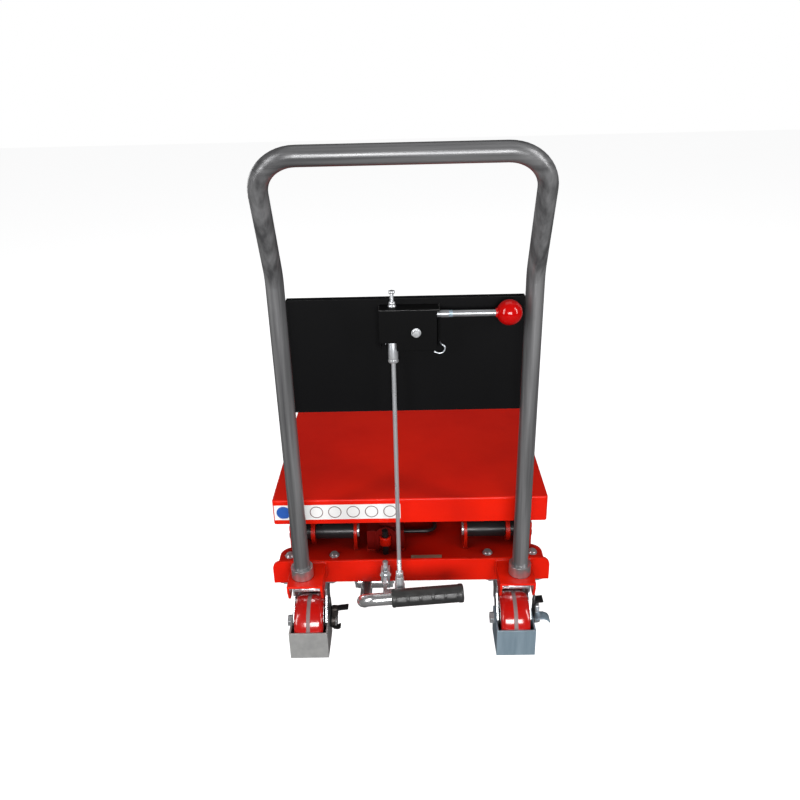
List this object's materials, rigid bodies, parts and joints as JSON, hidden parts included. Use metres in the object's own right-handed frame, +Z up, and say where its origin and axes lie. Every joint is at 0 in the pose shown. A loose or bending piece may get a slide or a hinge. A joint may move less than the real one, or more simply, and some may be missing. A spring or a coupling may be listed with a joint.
{
  "type": "scissor lift table",
  "caption": "Mobile scissor lift table with a foot pump, bent push handle, release lever and four casters, shown with its platform lowered.",
  "frame": {"origin": "on the floor under the middle of the whole object, lowered", "axes": "+X to the operator's right, +Y from the push handle towards the far end of the platform, +Z up"},
  "size_m": [0.5178, 0.9879, 0.935],
  "materials": {
    "red_paint": "gloss powder coat",
    "black_paint": "satin powder coat",
    "handle_steel": "polished tube",
    "zinc": "bright zinc plate",
    "steel": "machined steel",
    "chrome": "polished chrome",
    "black_oxide": "black oxide",
    "rubber": "moulded, matt",
    "red_plastic": "polished",
    "red_tread": "glossy polyurethane",
    "wheel_core": "painted casting"
  },
  "bodies": {
    "base": {"rear_plate": "red_paint", "front_plate": "red_paint", "side_rails": "red_paint", "cross_beam": "red_paint", "base_pivot_brackets": "red_paint", "base_pivot_pins": "zinc", "pivot_sleeves": "black_oxide", "handle_brackets": "red_paint", "push_handle": "handle_steel", "handle_collars": "chrome", "handle_panel": "black_paint", "release_box": "black_paint", "release_bolts": "zinc", "release_valve": "zinc", "pump_body": "red_paint", "pressure_pipe": "black_oxide", "pedal_bracket": "zinc", "caster_plates": "zinc", "caster_bolts": "zinc", "front_forks": "zinc", "front_axles": "zinc"},
    "inner_scissor": {"inner_frame": "red_paint", "inner_pins": "zinc"},
    "outer_scissor": {"outer_frame": "red_paint", "push_bracket": "red_paint", "outer_roller_pins": "zinc"},
    "platform": {"platform_tray": "red_paint", "platform_rails": "red_paint", "platform_brackets": "red_paint", "platform_pins": "zinc"},
    "cylinder": {"cylinder_barrel": "black_oxide"},
    "ram": {"piston_rod": "chrome"},
    "pedal": {"pedal_bar": "chrome", "pedal_sleeve": "rubber"},
    "plunger": {"pump_plunger": "black_oxide"},
    "lever": {"hand_lever": "chrome", "lever_knob": "red_plastic"},
    "link": {"release_rod": "zinc"},
    "valve": {"valve_lever": "zinc"},
    "rear_swivel_left": {"swivel_fork_left": "zinc", "foot_guard_left": "zinc", "swivel_axle_left": "zinc"},
    "rear_wheel_left": {"rear_wheel_left_tread": "red_tread", "rear_wheel_left_core": "wheel_core"},
    "brake_left": {"brake_pedal_left": "zinc"},
    "front_wheel_left": {"front_wheel_left_tread": "red_tread", "front_wheel_left_core": "wheel_core"},
    "inner_roller_left": {"inner_roller_left": "steel"},
    "outer_roller_left": {"outer_roller_left": "steel"},
    "rear_swivel_right": {"swivel_fork_right": "zinc", "foot_guard_right": "zinc", "swivel_axle_right": "zinc"},
    "rear_wheel_right": {"rear_wheel_right_tread": "red_tread", "rear_wheel_right_core": "wheel_core"},
    "brake_right": {"brake_pedal_right": "zinc"},
    "front_wheel_right": {"front_wheel_right_tread": "red_tread", "front_wheel_right_core": "wheel_core"},
    "inner_roller_right": {"inner_roller_right": "steel"},
    "outer_roller_right": {"outer_roller_right": "steel"}
  },
  "joints": [
    {"name": "scissor_lift", "type": "hinge", "parent": "base", "child": "inner_scissor", "pos_m": [0, -0.22404, 0.175], "axis": [1, 0, 0], "range_deg": [0, 50]},
    {"name": "scissor_cross", "type": "hinge", "parent": "inner_scissor", "child": "outer_scissor", "pos_m": [0, 0.11256, 0.223], "axis": [1, 0, 0], "range_deg": [-100.1, 0]},
    {"name": "platform_level", "type": "hinge", "parent": "outer_scissor", "child": "platform", "pos_m": [0, -0.22404, 0.271], "axis": [1, 0, 0], "range_deg": [0, 50.1]},
    {"name": "cylinder_tilt", "type": "hinge", "parent": "base", "child": "cylinder", "pos_m": [0, 0.00097, 0.115], "axis": [1, 0, 0], "range_deg": [0, 56.15]},
    {"name": "ram_stroke", "type": "slide", "parent": "cylinder", "child": "ram", "axis": [0, 0.8368, 0.5476], "range_m": [0, 0.0902]},
    {"name": "swivel_left", "type": "hinge", "parent": "base", "child": "rear_swivel_left", "pos_m": [-0.193, -0.29503, 0.139], "axis": [0, 0, 1], "continuous": true},
    {"name": "rear_spin_left", "type": "hinge", "parent": "rear_swivel_left", "child": "rear_wheel_left", "pos_m": [-0.193, -0.34103, 0.05], "axis": [1, 0, 0], "continuous": true},
    {"name": "brake_press_left", "type": "hinge", "parent": "rear_swivel_left", "child": "brake_left", "pos_m": [-0.193, -0.34103, 0.05], "axis": [1, 0, 0], "range_deg": [-15, 0]},
    {"name": "front_spin_left", "type": "hinge", "parent": "base", "child": "front_wheel_left", "pos_m": [-0.193, 0.42596, 0.05], "axis": [1, 0, 0], "continuous": true},
    {"name": "inner_roll_left", "type": "hinge", "parent": "inner_scissor", "child": "inner_roller_left", "pos_m": [-0.1742, 0.44916, 0.271], "axis": [1, 0, 0], "continuous": true},
    {"name": "outer_roll_left", "type": "hinge", "parent": "outer_scissor", "child": "outer_roller_left", "pos_m": [-0.22, 0.44916, 0.175], "axis": [1, 0, 0], "continuous": true},
    {"name": "swivel_right", "type": "hinge", "parent": "base", "child": "rear_swivel_right", "pos_m": [0.193, -0.29503, 0.139], "axis": [0, 0, 1], "continuous": true},
    {"name": "rear_spin_right", "type": "hinge", "parent": "rear_swivel_right", "child": "rear_wheel_right", "pos_m": [0.193, -0.34103, 0.05], "axis": [1, 0, 0], "continuous": true},
    {"name": "brake_press_right", "type": "hinge", "parent": "rear_swivel_right", "child": "brake_right", "pos_m": [0.193, -0.34103, 0.05], "axis": [1, 0, 0], "range_deg": [-15, 0]},
    {"name": "front_spin_right", "type": "hinge", "parent": "base", "child": "front_wheel_right", "pos_m": [0.193, 0.42596, 0.05], "axis": [1, 0, 0], "continuous": true},
    {"name": "inner_roll_right", "type": "hinge", "parent": "inner_scissor", "child": "inner_roller_right", "pos_m": [0.1742, 0.44916, 0.271], "axis": [1, 0, 0], "continuous": true},
    {"name": "outer_roll_right", "type": "hinge", "parent": "outer_scissor", "child": "outer_roller_right", "pos_m": [0.22, 0.44916, 0.175], "axis": [1, 0, 0], "continuous": true},
    {"name": "foot_pedal", "type": "hinge", "parent": "base", "child": "pedal", "pos_m": [-0.085, -0.30103, 0.11], "axis": [1, 0, 0], "range_deg": [0, 28], "stiffness_Nm_per_rad": 3, "springref_deg": -51.57},
    {"name": "pump_stroke", "type": "slide", "parent": "base", "child": "plunger", "axis": [0, 0, 1], "range_m": [0, 0.02258]},
    {"name": "hand_lever", "type": "hinge", "parent": "base", "child": "lever", "pos_m": [0.0156, -0.41422, 0.65623], "axis": [0, 0.9996, 0.0268], "range_deg": [0, 16], "stiffness_Nm_per_rad": 0.8, "springref_deg": -45.84},
    {"name": "release_pull", "type": "slide", "parent": "base", "child": "link", "axis": [0, 0, 1], "range_m": [0, 0.01004]},
    {"name": "valve_turn", "type": "hinge", "parent": "base", "child": "valve", "pos_m": [-0.047, -0.35303, 0.1625], "axis": [1, 0, 0], "range_deg": [-10.85, 0]}
  ],
  "couplings": [
    {"joint": "scissor_cross", "follows": "scissor_lift", "ratio": -2},
    {"joint": "platform_level", "follows": "scissor_lift", "ratio": 1},
    {"joint": "cylinder_tilt", "follows": "scissor_lift", "ratio": 1.121},
    {"joint": "ram_stroke", "follows": "scissor_lift", "m_per_rad": 0.10314},
    {"joint": "pump_stroke", "follows": "foot_pedal", "m_per_rad": 0.046},
    {"joint": "release_pull", "follows": "hand_lever", "m_per_rad": 0.0356},
    {"joint": "valve_turn", "follows": "hand_lever", "ratio": -0.6717}
  ]
}
